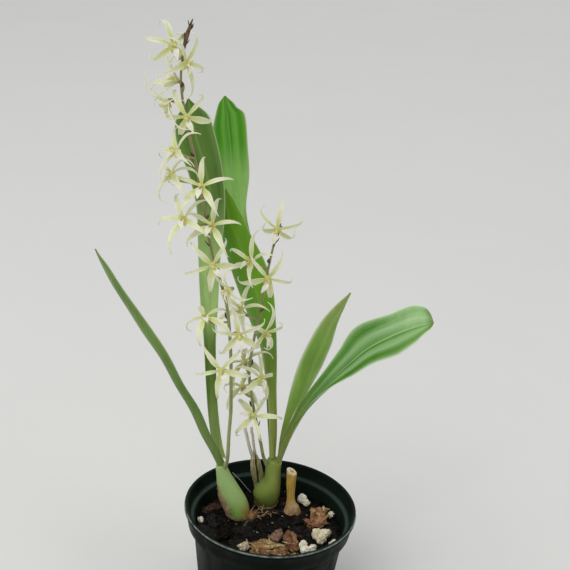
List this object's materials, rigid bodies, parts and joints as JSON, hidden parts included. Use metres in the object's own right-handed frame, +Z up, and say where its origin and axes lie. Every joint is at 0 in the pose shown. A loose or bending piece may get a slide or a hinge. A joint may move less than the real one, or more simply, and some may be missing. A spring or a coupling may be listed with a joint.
{
  "type": "potted eria javanica",
  "caption": "Potted orchid: two swollen pseudobulbs with long pleated leaves and two arching stems of starry cream blooms, in bark mix in a round plastic pot.",
  "frame": {"origin": "middle of the pot's flat underside", "axes": "+Z up along the pot's axis, -Y towards the viewer's front, +X towards the broad leaf on the viewer's right"},
  "size_m": [0.237, 0.1406, 0.4671],
  "materials": {
    "pot_plastic": "satin",
    "potting_mix": "matte",
    "bark": "matte",
    "pale_wood": "matte",
    "charcoal": "matte",
    "perlite": "matte",
    "bulb_pale": "satin",
    "bulb_olive": "satin",
    "dry_stump": "satin",
    "dry_sheath": "matte",
    "rhizome": "matte",
    "leaf_bright": "satin",
    "leaf_dark": "satin",
    "flower_stem": "satin",
    "bloom": "satin"
  },
  "bodies": {
    "root": {"pot": "pot_plastic", "potting_mix": "potting_mix", "bark_chip_right": "bark", "bark_chip_pinkish": "bark", "bark_chip_orange": "bark", "bark_chip_front": "bark", "bark_chip_tan": "pale_wood", "bark_chip_left": "bark", "wood_chip_pale": "pale_wood", "perlite_back_right": "perlite", "perlite_far_right": "perlite", "perlite_right_large": "perlite", "perlite_front": "perlite", "perlite_left": "perlite", "perlite_rim": "perlite", "charcoal_left": "charcoal", "pseudobulb_left": "bulb_pale", "pseudobulb_middle": "bulb_olive", "cut_stump": "dry_stump", "dried_old_shoot": "dry_sheath", "rhizome": "rhizome", "leaf_left_outer": "leaf_bright", "leaf_upright_dark": "leaf_dark", "leaf_middle": "leaf_bright", "leaf_back": "leaf_bright", "leaf_right_narrow": "leaf_bright", "leaf_right_broad": "leaf_bright", "flower_stem_left": "flower_stem", "flower_stem_right": "flower_stem", "bloom_a_01": "bloom", "bloom_a_02": "bloom", "bloom_a_03": "bloom", "bloom_a_04": "bloom", "bloom_a_05": "bloom", "bloom_a_06": "bloom", "bloom_a_07": "bloom", "bloom_a_08": "bloom", "bloom_a_09": "bloom", "bloom_a_10": "bloom", "bloom_a_11": "bloom", "bloom_a_12": "bloom", "bloom_a_13": "bloom", "bloom_a_14": "bloom", "bloom_a_15": "bloom", "bloom_b_01": "bloom", "bloom_b_02": "bloom", "bloom_b_03": "bloom", "bloom_b_04": "bloom", "bloom_b_05": "bloom", "bloom_b_06": "bloom", "bloom_b_07": "bloom", "bloom_b_08": "bloom", "bloom_b_09": "bloom"}
  },
  "joints": []
}
